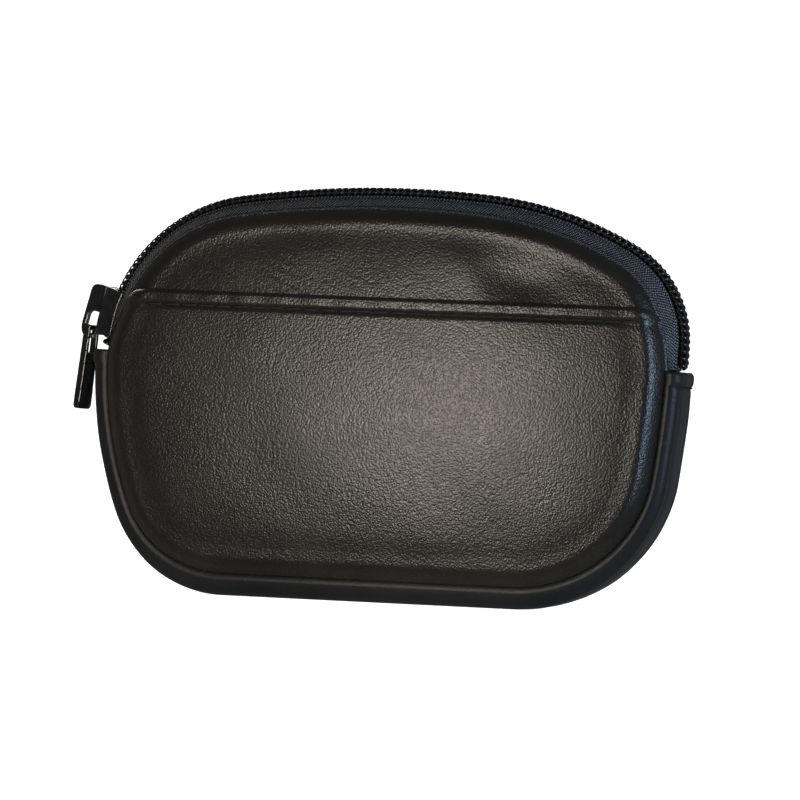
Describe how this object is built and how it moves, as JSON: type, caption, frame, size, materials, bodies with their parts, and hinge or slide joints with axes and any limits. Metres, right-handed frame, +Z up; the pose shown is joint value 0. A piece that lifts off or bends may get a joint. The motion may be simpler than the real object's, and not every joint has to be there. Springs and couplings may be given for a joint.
{
  "type": "coin purse",
  "caption": "Small black leather coin purse with a boxed gusset, a slip pocket on the front and a coil zip over its arched top.",
  "frame": {"origin": "middle of the gusset's flat bottom, on which the purse stands", "axes": "+X to the right as the pocket face is seen, -Y out of the pocket face, +Z up through the zip"},
  "size_m": [0.1134, 0.0252, 0.0755],
  "materials": {
    "leather": "fine black grain, soft sheen",
    "lining": "plain black woven lining",
    "zip_tape": "black woven zip tape",
    "zip_coil": "black nylon coil",
    "thread": "black sewing thread",
    "enamel": "gloss black enamel"
  },
  "bodies": {
    "root": {"front_panel": "leather", "back_panel": "leather", "front_pocket": "leather", "gusset": "leather", "front_lining": "lining", "back_lining": "lining", "gusset_lining": "lining", "back_zip_tape": "zip_tape", "back_zip_coil": "zip_coil", "back_coil_thread": "thread", "front_seam_thread": "thread", "back_seam_thread": "thread", "pocket_stitching": "thread", "left_hem_stitching": "thread", "right_hem_stitching": "thread"},
    "front_mouth": {"front_zip_tape": "zip_tape", "front_zip_coil": "zip_coil", "front_coil_thread": "thread"},
    "slider": {"slider_body": "enamel", "slider_crown": "enamel"},
    "pull": {"pull_tab": "enamel"}
  },
  "joints": [
    {"name": "slider_travel", "type": "hinge", "parent": "root", "child": "slider", "pos_m": [-0.02453, 0, 0.04357], "axis": [0, 1, 0], "range_deg": [0, 66], "deforming": ["back_zip_tape", "back_zip_coil", "back_coil_thread"]},
    {"name": "mouth_open", "type": "hinge", "parent": "root", "child": "front_mouth", "pos_m": [0, -0.0086, 0.05], "axis": [1, 0, 0], "range_deg": [0, 20], "deforming": ["front_zip_tape", "front_zip_coil", "front_coil_thread"]},
    {"name": "pull_tab_swing", "type": "hinge", "parent": "slider", "child": "pull", "pos_m": [-0.0572, 0, 0.04791], "axis": [0, 1, 0], "range_deg": [0, 155]}
  ],
  "couplings": [
    {"joint": "mouth_open", "follows": "slider_travel", "ratio": 0.3}
  ]
}
